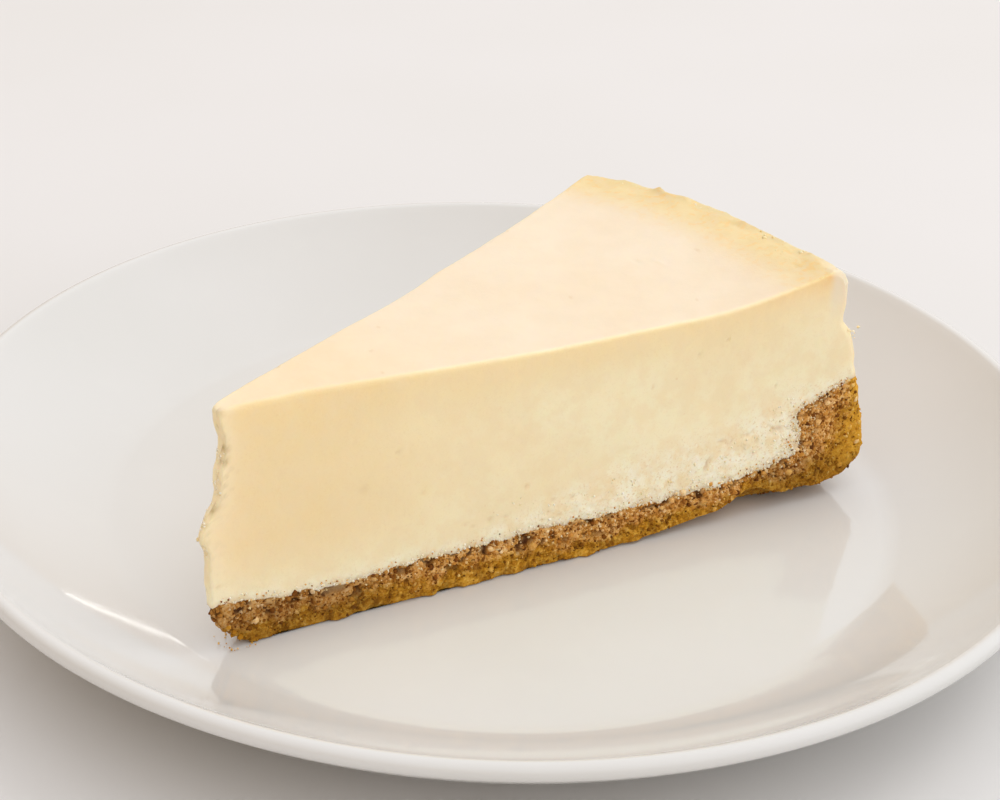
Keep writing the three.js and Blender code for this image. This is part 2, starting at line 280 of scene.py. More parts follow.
wedge = {
    "tip": (-45.9, -54.0, 6.3),
    "heading": 44.15,
    "angle": 31.3,
    "tipHalfWidth": 1.1,
    "baseRadius": 130.5,
    "sideFlare": 9.0,
    "sideFoot": 8.0,
    "sideRise": 40.0,
    "sidePower": 1.4,
    # the browned lip and the neck under it: how far out, height, spread
    "sideBands": ((1.2, 46, 3.2), (-1.3, 37, 2.4)),
    "farCorner": 5.0,
    "nearCorner": 1.2,
    "gap": 0.04,
    "slab": 7.6,
    "slabShare": 0.6,
    "collarStart": 98.0,
    # the collar's inner face passes these points of the section
    "faceRadii": (98.0, 108.0, 115.0, 116.4, 115.4, 121.0),
    "faceHeights": (7.6, 9.4, 11.2, 14.6, 19.4, 22.4),
    "collarHeight": 25.6,
    "collarUneven": 1.8,
    "collarWaves": 5,
    "collarEdge": 1.3,
    # the line to the crust lies higher at the very tip and lower just behind: height, place,
    # spread
    "layerWaves": ((1.3, 0, 7), (-0.6, 21, 9)),
    # its lumps and its crumbly unevenness: height and size
    "layerRelief": (0.7, 4.4),
    "layerCrumbs": (0.62, 1.5),
    # how the grid crowds towards the outer side, the rounded corners and the top, and how it
    # leans and rises from the collar
    "outerFocus": 20,
    "cornerFocus": 5,
    "topLag": 1.6,
    "leanPower": 4,
    "risePower": 1.3,
    "seeds": {"collar": 12, "layer": 21, "crumbs": 25},
}
halfAngle = math.radians(wedge["angle"] / 2)


def sideRadius(z):
    # radius of the baked side: the pan's radius, less what the cake drew in towards its top,
    # base - flare * share^power, with a bell curve more at the lip and less at the neck
    share = np.clip((z - wedge["sideFoot"]) / wedge["sideRise"], 0, 1)
    drawn = wedge["sideFlare"] * share ** wedge["sidePower"]
    for amount, height, spread in wedge["sideBands"]:
        drawn = drawn - amount * hump(z, height, spread)
    return wedge["baseRadius"] - drawn


def collarHeight(v):
    wave = noise((wedge["collarWaves"] * v, 0 * v, 0 * v), 1, wedge["seeds"]["collar"])
    return wedge["collarHeight"] + wedge["collarUneven"] * wave


def halfWidth(r):
    # half width of the wedge at a radius, blunt at the tip
    sharp = r * math.sin(halfAngle)
    return (sharp + np.sqrt(sharp**2 + 4 * wedge["tipHalfWidth"] ** 2)) / 2


def cornerInset(s, v):
    # how far the grid draws in where the side rounds off towards the cut faces: a quarter
    # circle, size * (1 - sqrt(1 - into^2)), crowded towards the side by s^focus
    size = np.where(v > 0, wedge["farCorner"], wedge["nearCorner"])
    into = np.clip(1 - (1 - abs(v)) * halfWidth(wedge["baseRadius"]) / size, 0, 1)
    return size * (1 - np.sqrt(1 - into**2)) * s ** wedge["cornerFocus"]


def wedgePoint(r, z, v):
    # v runs from -1 at the near cut face to 1 at the far one
    angle = v * halfAngle
    across = halfWidth(r) * np.sin(angle) / math.sin(halfAngle)
    return r * np.cos(angle), across, z


def climbShare(s):
    return np.clip((s - wedge["slabShare"]) / (1 - wedge["slabShare"]), 0, 1)


def curvePlace(share, knots):
    # smooth curve through the rows of knots. Between b and c, with a before and d after, it is
    # b + u (c - a) / 2 + u^2 (2a - 5b + 4c - d) / 2 + u^3 (3b - 3c + d - a) / 2
    last = len(knots) - 1
    first = np.minimum(np.floor(share * last), last - 1).astype(int)
    u = share * last - first
    column = np.arange(len(share))
    a, b, c, d = [knots[np.clip(first + step, 0, last), column] for step in (-1, 0, 1, 2)]
    bend = u**2 * (2 * a - 5 * b + 4 * c - d) + u**3 * (3 * b - 3 * c + d - a)
    return b + (u * (c - a) + bend) / 2


def layerSection(s, v, offset):
    # line between crust and filling: flat slab, then the collar's inner face, with lumps along
    # its own normal. The offset moves it along that normal too.
    climb = climbShare(s)
    top = collarHeight(v)
    end = sideRadius(top) - wedge["collarEdge"]
    radii = np.stack([radius + 0 * v for radius in wedge["faceRadii"]] + [end])
    heights = np.stack([height + 0 * v for height in wedge["faceHeights"]] + [top])
    step = 0.0001
    before, after = np.clip(climb - step, 0, 1), np.clip(climb + step, 0, 1)
    run = curvePlace(after, radii) - curvePlace(before, radii)
    rise = curvePlace(after, heights) - curvePlace(before, heights)
    length = np.hypot(run, rise)
    flat = wedge["collarStart"] * s / wedge["slabShare"]
    r = np.where(climb > 0, curvePlace(climb, radii), flat)
    z = curvePlace(climb, heights)
    for height, place, spread in wedge["layerWaves"]:
        z = z + height * hump(r, place, spread)
    point = wedgePoint(r, z, v)
    (lumpHeight, lumpSize), (height, size) = wedge["layerRelief"], wedge["layerCrumbs"]
    lump = (1 - climb**2) * lumps(point, lumpSize, wedge["seeds"]["layer"])
    crumbs = height * (1 - climb**2) * lumps(point, size, wedge["seeds"]["crumbs"])
    move = offset + lumpHeight * lump + crumbs
    return r - cornerInset(s, v) - rise / length * move, z + run / length * move


def blockSkin(c):
    # the six faces of a block as one closed grid: shares s along, v across and t up for each
    # point, and the quads between them. Its columns are those of the slab and of the collar,
    # and rowSpread gathers the rows near the cut faces.
    (slab, collar), rows, layers, spread = c["columns"], c["rows"], c["layers"], c["rowSpread"]
    share = wedge["slabShare"]
    along = [np.linspace(0, share, slab, endpoint=False), np.linspace(share, 1, collar + 1)]
    along = np.concatenate(along)
    last = slab + collar
    counts = (last + 1, rows + 1, layers + 1)
    i, j, k = np.indices(counts)
    skin = (i % last == 0) | (j % rows == 0) | (k % layers == 0)
    number = np.where(skin, np.cumsum(skin).reshape(counts) - 1, -1)
    even = 2 * j[skin] / rows - 1
    v = (1 - spread) * even + spread * np.sin(even * math.pi / 2)
    faces = []
    for axis in (2, 1, 0):
        for side in (-1, 0):
            sheet = number.take(side, axis)
            corners = [sheet[:-1, :-1], sheet[1:, :-1], sheet[1:, 1:], sheet[:-1, 1:]]
            quads = np.stack([c.ravel() for c in corners], 1)
            # the two faces across v point the other way round
            faces.append(quads if (side == -1) != (axis == 1) else quads[:, ::-1])
    # near before far
    faces[2], faces[3] = faces[3], faces[2]
    return along[i[skin]], v, k[skin] / layers, np.concatenate(faces)


def raised(point, v, side, tip, cut, top):
    # moves a point out of each skin that it lies on
    x, y, z = point
    angle = v * halfAngle
    x = x + side * np.cos(angle) - tip - cut * math.sin(halfAngle)
    y = y + side * np.sin(angle) + cut * math.cos(halfAngle) * np.sign(v)
    return np.stack([x, y, z + top], -1)


def onPlate(points):
    # from the wedge's own axes to the slice's place on the plate
    turn = math.radians(wedge["heading"])
    x = points[..., 0] * math.cos(turn) - points[..., 1] * math.sin(turn)
    y = points[..., 0] * math.sin(turn) + points[..., 1] * math.cos(turn)
    return np.stack([x, y, points[..., 2]], -1) + wedge["tip"]


def blockShape(settings, skin):
    s, v, t, quads = blockSkin(settings)
    points, tints = skin(s, v, t)
    return onPlate(points), [quads], tints


filling = {
    "topHeight": 45.8,
    "topSag": 1.8,
    "sagReach": (8, 62),
    "topTilt": 0.4,
    "rimRise": 2.3,
    "rimPeak": 1.2,
    "rimFall": 1.55,
    "rimWidth": 0.5,
    "rimReach": (94, 120),
    "rimPower": 1.5,
    "edgeRound": 2.4,
    "topDrop": 1.0,
    "topDropReach": 1.2,
    "tipReach": 5.0,
    "tipLedge": 2.7,
    "tipLedgeHeights": (24.5, 31),
    # how far out, height, spread
    "tipNick": (0.9, 39, 3.5),
    "tipCrumb": (1.3, 22.8, 2.2),
    # how deep into the cake the relief of the cut faces, the tip and the side reaches
    "skinDepths": (1.2, 2.5, 1.2),
    # reliefs: height and size
    "cutRelief": (0.22, 9),
    "fineRelief": (0.04, 1.1),
    "tipRelief": (0.55, 3.6),
    "topRelief": (0.18, 16),
    "sideRelief": (0.45, 5),
    "sideCrumbs": (0.22, 2.6),
    # crags and flakes of the rim: height and the band's width or size
    "rimCrag": (0.7, 4),
    "rimFlake": (0.55, 1.7),
    "edgeRadius": 0.6,
    # crumbly zone over the crust at the cut faces: where it starts, how high it reaches
    "crumblyReach": (34, 92),
    "crumblyHeight": (2.5, 13.5),
    "crumblyTop": (17, 29),
    "crumblyRelief": (0.3, 1.8),
    # a porous fringe just over the crust, wherever the crumbly zone is low: height and start
    "fringe": (2.4, (0, 12)),
    # pores: cell size, share of the cells that hold one, radius share, depth
    "pores": (2.3, 0.26, 0.2, 0.24),
    # torn pits of the tip: cell size and depth
    "tipPits": (1.5, 0.5),
    # crevices of the near cut face: start and end (r, height), width and depth
    "crevices": [
        ((97.4, 17.6), (100.8, 16.6), 0.35, 0.35), ((102.0, 17.2), (105.0, 17.6), 0.3, 0.25),
        ((108.2, 17.8), (112.8, 16.7), 0.4, 0.4), ((95.1, 12.0), (96.0, 14.8), 0.35, 0.5),
        ((84.4, 12.3), (85.4, 12.9), 0.3, 0.3), ((60.5, 10.2), (62.5, 10.6), 0.3, 0.25),
        ((71.5, 11.4), (72.6, 11.1), 0.3, 0.25),
    ],
    # small dents of the near cut face: r, height, radius, depth
    "dents": [
        (25.6, 24.5, 0.9, 0.16), (57.3, 17.5, 0.4, 0.35), (45.4, 12.6, 0.35, 0.28),
        (46.8, 11.8, 0.35, 0.28), (50.3, 12.4, 0.45, 0.3), (53.3, 12.3, 0.35, 0.28),
        (91.7, 36.5, 0.45, 0.3), (0.4, 45.0, 0.6, 0.4), (0.2, 38.2, 0.7, 0.5),
        (0.3, 36.2, 0.6, 0.45), (-0.2, 27.5, 0.9, 0.5), (37.0, 21.2, 0.5, 0.2),
    ],
    # crumbs baked on the rim: r, v, radius, height
    "rimCrumbs": [
        (120.9, 0.49, 1.1, 0.9), (120.2, 0.43, 0.7, 0.6), (120.4, 0.30, 0.6, 0.4),
        (120.4, -0.17, 1.0, 0.8), (120.8, -0.24, 0.7, 0.5), (120.7, -0.47, 0.7, 0.5),
        (120.7, -0.72, 0.7, 0.4),
    ],
    # bubbles of the top: r, v, radius, height (below 0 is a burst one)
    "bubbles": [
        (98.6, -0.16, 0.7, 0.22), (95.7, -0.04, 0.5, -0.3), (96.4, -0.11, 0.35, 0.15),
        (116.1, -0.79, 0.45, -0.35), (71.0, 0.35, 0.5, -0.12), (88.0, 0.45, 0.4, -0.12),
    ],
    "seeds": {
        "cut": 31, "tip": 41, "side": 51, "crag": 61, "top": 71, "broken": 141, "fine": 151,
        "patch": 161, "pore": 171, "wobble": 181, "breaks": 185, "grain": 191, "tipPit": 201,
        "sideCrumb": 211, "flake": 221, "stain": 225,
    },
    "columns": (200, 90),
    "rows": 64,
    "layers": 82,
    "rowSpread": 0.62,
}


def topHeight(r, v):
    # sunken past the tip and rising a little towards the far cut face, then up to the baked
    # rim by share^power and over its edge in a quarter circle
    f = filling
    edge = sideRadius(f["topHeight"])
    height = f["topHeight"] - f["topSag"] * ease(r, *f["sagReach"]) + f["topTilt"] * (1 + v)
    crest = f["rimRise"] + f["rimPeak"] * hump(v, -1, f["rimWidth"])
    crest = crest - f["rimFall"] * hump(v, 1, f["rimWidth"])
    start, end = f["rimReach"]
    height = height + crest * np.clip((r - start) / (end - start), 0, 1) ** f["rimPower"]
    over = np.clip((r - edge + f["edgeRound"]) / f["edgeRound"], 0, 1)
    height = height - f["edgeRound"] * (1 - np.sqrt(1 - over**2))
    return height - f["topDrop"] * np.exp(-r / f["topDropReach"])


def fillingTip(z):
    # how far the tip stands in at a height: a torn ledge, a nick and a stuck crumb
    f = filling
    ledge = f["tipLedge"] * (1 - ease(z, *f["tipLedgeHeights"]))
    nick, nickHeight, nickSpread = f["tipNick"]
    crumb, crumbHeight, crumbSpread = f["tipCrumb"]
    nick = nick * hump(z, nickHeight, nickSpread)
    return nick - ledge - crumb * hump(z, crumbHeight, crumbSpread)


def crumbly(r, z, low):
    # 1 in the pale crumbly zone over the crust, 0 in the dense cream
    reach = ease(r, *filling["crumblyReach"])
    height = filling["crumblyHeight"][0] + reach * filling["crumblyHeight"][1]
    zone = (1 - ease(z - low, 0.35 * height, height)) * (0.25 + 0.75 * reach)
    return zone * (1 - ease(z, *filling["crumblyTop"]))


def segmentDistance(x, z, start, end):
    # distance from a straight line between two points of the cut face
    along = np.array(end) - start
    share = ((x - start[0]) * along[0] + (z - start[1]) * along[1]) / (along @ along)
    share = np.clip(share, 0, 1)
    return np.hypot(x - start[0] - share * along[0], z - start[1] - share * along[1])


def knobs(x, y, places):
    # the height and the bell curve of each crumb or bubble of the top
    for r, v, reach, height in places:
        centreX, centreY, _ = wedgePoint(np.array(r), 0, np.array(v))
        yield height, blob(x - centreX, y - centreY, reach)


def fillingSkin(s, v, t):
    # points of the filling for three arrays of shares, and the tints that go with them
    f, seeds = filling, filling["seeds"]
    lowR, lowZ = layerSection(s, v, wedge["gap"] / 2)
    edge = sideRadius(f["topHeight"])
    flat = wedge["collarStart"] * np.minimum(s / wedge["slabShare"], 1)
    highR = flat + (edge - wedge["collarStart"]) * climbShare(s) ** wedge["topLag"]
    highZ = topHeight(highR, v)
    z = lowZ + (highZ - lowZ) * t ** wedge["risePower"]
    lean = 1 - (1 - t) ** wedge["leanPower"]
    foot = sideRadius(collarHeight(v)) - wedge["collarEdge"]
    straight = foot + (edge - foot) * lean
    bulge = np.where(t > 0, (sideRadius(z) - straight) * s ** wedge["outerFocus"], 0)
    r = lowR + (highR - lowR) * lean + bulge - cornerInset(s, v) * lean
    point = wedgePoint(r + fillingTip(z) * np.exp(-r / f["tipReach"]), z, v)
    x, y, _ = point
    flatPoint = (x, y, 0 * z)

    # how near each skin is, for reliefs that run smoothly over the edges
    inCut = (1 - abs(v)) * halfWidth(r)
    inTop = highZ - z
    inSide = np.maximum(sideRadius(z) - r, 0)
    depths = zip((inCut, r, inSide), f["skinDepths"])
    onCut, onTip, onSide = [hump(inside, 0, depth) for inside, depth in depths]
    onTop = t == 1
    onFace = 1 - onTop * 1.0
    near = v < 0

    # crumbly zone: broken lumps in two sizes, deeper between them
    zone = crumbly(r, z, lowZ) * onCut
    height, size = f["crumblyRelief"]
    away, value = pebbles(point, size, seeds["broken"])
    fineAway, _ = pebbles(point, size / 2, seeds["fine"])
    broken = height * (0.75 - away + 0.3 * value + 0.45 * (0.6 - fineAway))
    patchy = ease(noise(point, 5, seeds["patch"]), -0.5, 0.4)
    height, start = f["fringe"]
    fringe = onCut * hump(z, lowZ, height) * ease(r, *start)

    # pores: round pits in some of the cells
    size, share, radius, depth = f["pores"]
    away, value = pebbles(point, size, seeds["pore"])
    often = 0.12 + 0.7 * zone + 0.5 * fringe + 0.35 * onTip
    holds = value > 1 - 2 * share * often
    pit = depth * holds * np.sqrt(np.clip(1 - (away / radius) ** 2, 0, 1))

    dent = 0 * z
    for place, height, reach, deep in f["dents"]:
        dent = dent + deep * near * blob(r - place, z - height, reach)
    wobble = 0.9 * noise(point, 1.2, seeds["wobble"])
    broke = ease(noise(point, 1.3, seeds["breaks"]), -0.6, 0.3)
    for start, end, width, deep in f["crevices"]:
        gap = segmentDistance(r, z + wobble, start, end)
        dent = dent + deep * near * hump(gap, 0, width) * broke

    height, size = f["cutRelief"]
    cut = height * lumps(point, size, seeds["cut"])
    height, size = f["fineRelief"]
    cut = cut + height * noise(point, size, seeds["grain"])
    loose = np.maximum(zone * patchy, 0.55 * fringe)
    cut = onCut * (cut + loose * broken - pit - dent)

    height, size = f["tipRelief"]
    tip = height * lumps(point, size, seeds["tip"])
    size, depth = f["tipPits"]
    tipAway, _ = pebbles(point, size, seeds["tipPit"])
    torn = hump(z, 33, 9) + 0.4 * hump(z, 15, 9)
    tip = onTip * (tip + depth * torn * np.clip(tipAway - 0.5, -0.35, 0.5))

    height, size = f["sideCrumbs"]
    away, _ = pebbles(point, size, seeds["sideCrumb"])
    crumbs = height * (0.55 - away)
    height, size = f["sideRelief"]
    side = onSide * (height * lumps(point, size, seeds["side"]) + crumbs) * (t > 0) * (t < 1)

    height, band = f["rimCrag"]
    band = ease(r, f["rimReach"][1] - band, f["rimReach"][1])
    crag = height * band * lumps(point, size, seeds["crag"])
    height, size = f["rimFlake"]
    away, value = pebbles(flatPoint, size, seeds["flake"])
    crag = crag + height * band * (value > 0) * np.clip(0.5 - away, -0.1, 0.5)
    height, size = f["topRelief"]
    top = height * lumps(flatPoint, size, seeds["top"]) + crag
    stain = 0 * z
    for height, knob in knobs(x, y, f["rimCrumbs"]):
        top = top + height * knob
        stain = stain + knob
    for height, knob in knobs(x, y, f["bubbles"]):
        top = top + height * knob

    # rounded edges between the top and the cut faces, a quarter circle shared between them
    radius = f["edgeRadius"]
    turnTop = np.clip(1 - inCut / radius, 0, 1) * math.pi / 4
    turnCut = np.clip(1 - inTop / radius, 0, 1) * math.pi / 4
    inTopFace, inCutFace = radius * (1 - np.sin(turnTop)) - inCut, radius * (1 - np.cos(turnCut))
    inward = np.where(onTop, inTopFace, inCutFace)
    inward = np.where(onTop & (turnTop > 0) | ~onTop & (abs(v) == 1), inward, 0)
    downTop, downCut = radius * (1 - np.cos(turnTop)), radius * (1 - np.sin(turnCut)) - inTop
    down = np.where(onTop, downTop, downCut)
    down = np.where(onTop | (turnCut > 0) & (abs(v) == 1), down, 0)

    points = raised(point, v, side, tip, cut - inward, onTop * top - down)
    # painted shade for the torn holes of the tip
    tipHole = 1.6 * onTip * torn * np.clip(0.42 - tipAway, 0, 1)
    # the crust's fat and crumbs tint the cream just over it
    patchy = ease(lumps(point, 1.4, seeds["stain"]), -0.5, 0.4)
    browned = onFace * (0.4 * ease(r, 96, 112) + 0.6 * ease(r, 112, 119))
    return points, {
        "topSkin": onTop * (1 - turnTop / (math.pi / 4)),
        "rimBand": ease(r, 106, 118) * onTop,
        "crest": ease(r, 118.4, 121.4) * onTop,
        # painted highlight on the rounded lip at the near corner
        "corner": near * ease(r, 118.5, 120.5) * ease(z, 36, 44) * hump(inCut, 0, 4),
        "stained": onCut * onFace * hump(z, lowZ, 0.85) * patchy,
        "baked": browned * hump(inTop, 0, 2.0 + 1.4 * ease(r, 112, 120)),
        "zone": np.clip(zone + 0.42 * fringe, 0, 1),
        "dense": hump(inTop, 0, 7) * onFace,
        # painted shade: pits, dents, crevices and the tip's torn holes darkened
        "hollow": np.clip(1.9 * pit + 1.5 * dent + tipHole, 0, 1),
        "toast": np.clip(stain, 0, 1),
        "sideSkin": onSide * (t < 1) * (abs(v) < 1),
        "tipSkin": onTip,
        "tipward": (1 - ease(r, 12, 58)) * ease(z, 8, 20),
    }


def creamMaterial():
    material, paint, where = newMaterial("bakedCream")
    broad, cloud = mottle(where, 22, 3), mottle(where, 5, 4, 0.6)
    grain, specks = mottle(where, 0.7, 3, 0.6), mottle(where, 0.45, 2, 0.6)
    clump = mottle(where, 1.5, 3, 0.55)
    names = ("zone", "tipward", "topSkin", "rimBand", "tipSkin")
    zone, tipward, topSkin, rimBand, tipSkin = [painted(paint, name) for name in names]
    patches = 0.5 + 0.5 * cloud.ramp(0.35, 0.6)
    dots = (1 - spots(where, 4.5, 0).ramp(0.03, 0.07)) * cloud.ramp(0.5, 0.6)
    cream = blend(paint, broad.ramp(0.35, 0.65), (250, 237, 199), (247, 230, 189))
    skin = blend(paint, broad.ramp(0.3, 0.7), (236, 221, 196), (234, 216, 187))
    skin = blend(paint, tipward * 0.7, skin, (236, 213, 172))
    rim = blend(paint, cloud.ramp(0.42, 0.6), (228, 200, 124), (231, 209, 151))
    # painted shade for pits, dents and crevices: tan, olive on the torn tip
    pit = blend(paint, tipSkin, (200, 160, 98), (158, 142, 72))
    cream = coats(paint, cream, [
        (tipward * 0.8, (243, 217, 164)),
        (painted(paint, "dense") * 0.65, (248, 220, 162)),
        (zone * 0.9, (255, 246, 219)),
        # peach, tan and pale specks, most of them in the crumbly zone
        (specks.ramp(0.55, 0.68) * (0.1 + 0.45 * zone), (220, 182, 126)),
        (clump.ramp(0.54, 0.64) * zone * 0.36, (240, 210, 156)),
        (clump.ramp(0.47, 0.36) * zone * 0.45, (255, 250, 234)),
        (grain.ramp(0.55, 0.7) * (0.06 + 0.4 * zone), (255, 248, 228)),
        # yellow-tan blotches
        (cloud.ramp(0.52, 0.64) * zone * 0.36, (242, 210, 146)),
        (cloud.ramp(0.42, 0.62) * 0.38, (240, 216, 166)),
        # the baked top, its rim, what is baked below them and a painted highlight on the near
        # corner's lip
        (topSkin, skin),
        (rimBand * patches, rim),
        (painted(paint, "crest") * 0.8, (220, 202, 146)),
        (clump.ramp(0.5, 0.66) * rimBand * 0.5, (238, 196, 116)),
        (painted(paint, "baked") * patches, (240, 196, 126)),
        (painted(paint, "sideSkin") * 0.5, (240, 213, 160)),
        # painted highlight: the near corner's rounded lip lightened
        (painted(paint, "corner") * 0.7, (234, 224, 202)),
        # stains, painted light on the torn tip, painted shade in pits, dents and crevices, and
        # single brown dots
        (painted(paint, "stained") * 0.55, (206, 162, 100)),
        # painted light: the torn tip's face is lightened towards white
        (tipSkin * 0.35, (255, 243, 214)),
        # painted shade darkens the pits, dents and crevices
        (painted(paint, "hollow") * 0.62, pit),
        (painted(paint, "toast") * 0.6, (206, 172, 112)),
        (dots * 0.35, (226, 182, 116)),
        (cloud.ramp(0.3, 0.7) * 0.14, (255, 241, 216)),
    ])
    tone = 0.35 * grain + 0.4 * cloud + 0.25 * mottle(where, 0.28)
    finishMaterial(paint, {
        "Base Color": cream,
        "Roughness": 0.5 + 0.14 * cloud - 0.12 * topSkin,
        "Normal": bumps(paint, 0.4, 0.22, tone),
        "IOR": 1.42,
        "Subsurface Weight": 0.35,
        "Subsurface Radius": (1.0, 0.72, 0.38),
        "Subsurface Scale": 0.0022,
    })
    return material


crust = {
    "corner": 10.0,
    "stand": 0.6,
    "standFade": 6.0,
    "tipOverhang": 1.8,
    "tipChamfer": 6.2,
    "tipPower": 1.6,
    "tipReach": 8.0,
    "crumbleReach": (73, 108),
    "crumbleLift": 3.0,
    "crumbleDepth": 3.4,
    "notch": (2.6, 106, 4.5),
    "layerCalm": 0.6,
    "sideCalm": 0.4,
    # height and size
    "relief": (0.75, 3.4),
    "grit": (0.4, 1.7),
    "fineGrit": (0.2, 0.8),
    # gaps between the crumbs of the near cut face, dented in and darkened with painted shade: r,
    # height, radius
    "shadedGaps": [
        (9.0, 6.2, 1.1), (12.4, 6.0, 0.9), (19.6, 6.4, 1.3), (21.6, 6.2, 0.9), (33.0, 6.5, 0.9),
        (38.7, 6.6, 0.9), (49.4, 6.5, 1.2), (56.6, 5.9, 1.2), (58.6, 6.2, 0.8), (66.0, 6.9, 0.8),
        (74.8, 7.5, 0.8), (88.4, 8.4, 1.0), (93.6, 7.6, 1.0), (104.0, 9.2, 1.2),
        (106.5, 9.4, 1.0), (109.7, 9.6, 1.2), (112.5, 9.9, 1.0), (116.4, 12.6, 0.8),
        (121.5, 23.4, 0.8), (123.8, 24.6, 1.0),
    ],
    # a dented line along the collar's upper edge, darkened with painted shade
    "shadedEdgeGap": ((116.2, 19.2), (121.6, 23.4), 0.8),
    # how large the other pits are, dented in and darkened with painted shade
    "pits": 1.4,
    # darker at the tip and under the collar: where that ends and begins
    "soot": ((22, 40), (102, 112)),
    "seeds": {
        "relief": 81, "grit": 311, "fineGrit": 321, "gap": 331, "pit": 333, "smear": 335,
        "butter": 341, "fineButter": 343, "grain": 351,
    },
    "columns": (270, 140),
    "rows": 50,
    "layers": 50,
    "rowSpread": 0.62,
}


def undersideSection(s, v):
    # flat, round the outer corner in a quarter circle, then up the baked side
    c = crust
    flat = wedge["baseRadius"] - c["corner"] - wedge["collarStart"]
    bend = c["corner"] * math.pi / 2
    top = collarHeight(v)
    along = climbShare(s) * (flat + bend + top - c["corner"])
    turn = np.clip((along - flat) / c["corner"], 0, math.pi / 2)
    bendR = wedge["baseRadius"] - c["corner"] * (1 - np.sin(turn)) + c["stand"] * np.sin(turn)
    bendZ = c["corner"] * (1 - np.cos(turn))
    wallZ = c["corner"] + along - flat - bend
    wallR = sideRadius(wallZ) + c["stand"] * ease(top - wallZ, 0, c["standFade"])
    start = wedge["collarStart"] * np.minimum(s / wedge["slabShare"], 1) + along
    r = np.where(along <= flat, start, np.where(along <= flat + bend, bendR, wallR))
    z = np.where(along <= flat, 0, np.where(along <= flat + bend, bendZ, wallZ))
    return r, z


def crustTip(z):
    # broken away towards its underside
    depth = np.clip(1 - z / wedge["slab"], 0, 1)
    return crust["tipChamfer"] * depth ** crust["tipPower"] - crust["tipOverhang"]


def crumbleLift(r, z, v):
    # how far the underside is crumbled away at the near cut face, with one deeper notch
    c = crust
    inward = (1 + v) * halfWidth(r)
    lift, place, spread = c["notch"]
    deep = c["crumbleLift"] * ease(r, *c["crumbleReach"]) + lift * hump(r, place, spread)
    return deep * np.clip(1 - z / wedge["slab"], 0, 1) * hump(inward, 0, c["crumbleDepth"])


def crustSkin(s, v, t):
    # points of the crust for three arrays of shares, and the tints that go with them
    c, seeds = crust, crust["seeds"]
    lowR, lowZ = undersideSection(s, v)
    highR, highZ = layerSection(s, v, -wedge["gap"] / 2)
    z = lowZ + (highZ - lowZ) * t
    r = lowR + (highR - lowR) * t - cornerInset(s, v) * (1 - t)
    tipMove = crustTip(z) * np.exp(-r / c["tipReach"])
    z = z + crumbleLift(lowR, lowZ, v) * (1 - t)
    point = wedgePoint(r + tipMove, z, v)
    height, size = c["relief"]
    crumbs = height * lumps(point, size, seeds["relief"])
    height, size = c["grit"]
    away, value = pebbles(point, size, seeds["grit"])
    grit = height * (1.1 - 2 * away + 0.5 * value)
    height, size = c["fineGrit"]
    fineAway, value = pebbles(point, size, seeds["fineGrit"])
    grit = grit + height * (1.1 - 2 * fineAway + 0.5 * value)
    # gaps and pits between the crumbs: dented in, and darkened below with painted shade
    gap = 0 * z
    for place, height, reach in c["shadedGaps"]:
        gap = gap + blob(r - place, z - height, reach)
    start, end, width = c["shadedEdgeGap"]
    gap = gap + 0.8 * hump(segmentDistance(r, z, start, end), 0, width)
    gap = gap * (v < 0) * ease(lumps(point, 1.2, seeds["gap"]), -0.5, 0.1)
    pits = ease(lumps(point, c["pits"], seeds["pit"]), 0.22, 0.34)
    pits = pits * (0.25 + 0.75 * ease(t, 0.4, 0.8))
    gap = np.clip(gap + pits * (1 - 0.6 * ease(r, 112, 118)), 0, 1)
    onCut = abs(v) == 1
    calm = (0.35 + 0.65 * ease(t, 0.05, 0.35)) * (1 - 0.5 * t)
    cut = np.where(onCut, crumbs * (1 - c["layerCalm"] * t) + grit * calm - 0.7 * gap, 0)
    tip = np.where(s == 0, crumbs + grit, 0)
    outside = np.where(t == 0, ease(r, wedge["baseRadius"] - c["corner"], wedge["baseRadius"]), 0)
    side = (crumbs * (1 - c["sideCalm"]) + 0.6 * grit) * outside
    tipEnd, collarFoot = c["soot"]
    return raised(point, v, side, tip, cut, 0), {
        "butter": butterShare(point, t),
        "grit": away,
        "gap": gap,
        # painted light: the crust's outer lower end brightened to a lighter gold
        "glow": ease(r, 122, 128) * ease(z, 3, 8),
        "soot": 1 - ease(r, *tipEnd) + ease(r, *collarFoot) * (1 - ease(z, 7, 11)),
        "smear": ease(t, 0.72, 1) * ease(lumps(point, 1.5, seeds["smear"]), 0.05, 0.35) * onCut,
    }


def butterShare(point, t):
    # 1 in the lower half, which soaked up butter, 0 in the dry upper half, with a wavy limit
    seeds = crust["seeds"]
    wave = 0.26 * noise(point, 3.5, seeds["butter"]) + 0.16 * noise(point, 1, seeds["fineButter"])
    return 1 - ease(t + wave, 0.24, 0.7)


# dry crumbs, pinkish tan, and the golden ones that soaked up butter
crumbTints = {
    "dry": [
        (0, (78, 38, 10)), (0.2, (140, 84, 24)), (0.45, (206, 144, 64)),
        (0.75, (238, 192, 124)), (1, (252, 228, 186)),
    ],
    "soaked": [
        (0, (84, 48, 2)), (0.2, (136, 86, 8)), (0.45, (190, 132, 26)),
        (0.75, (222, 170, 66)), (1, (244, 210, 130)),
    ],
}


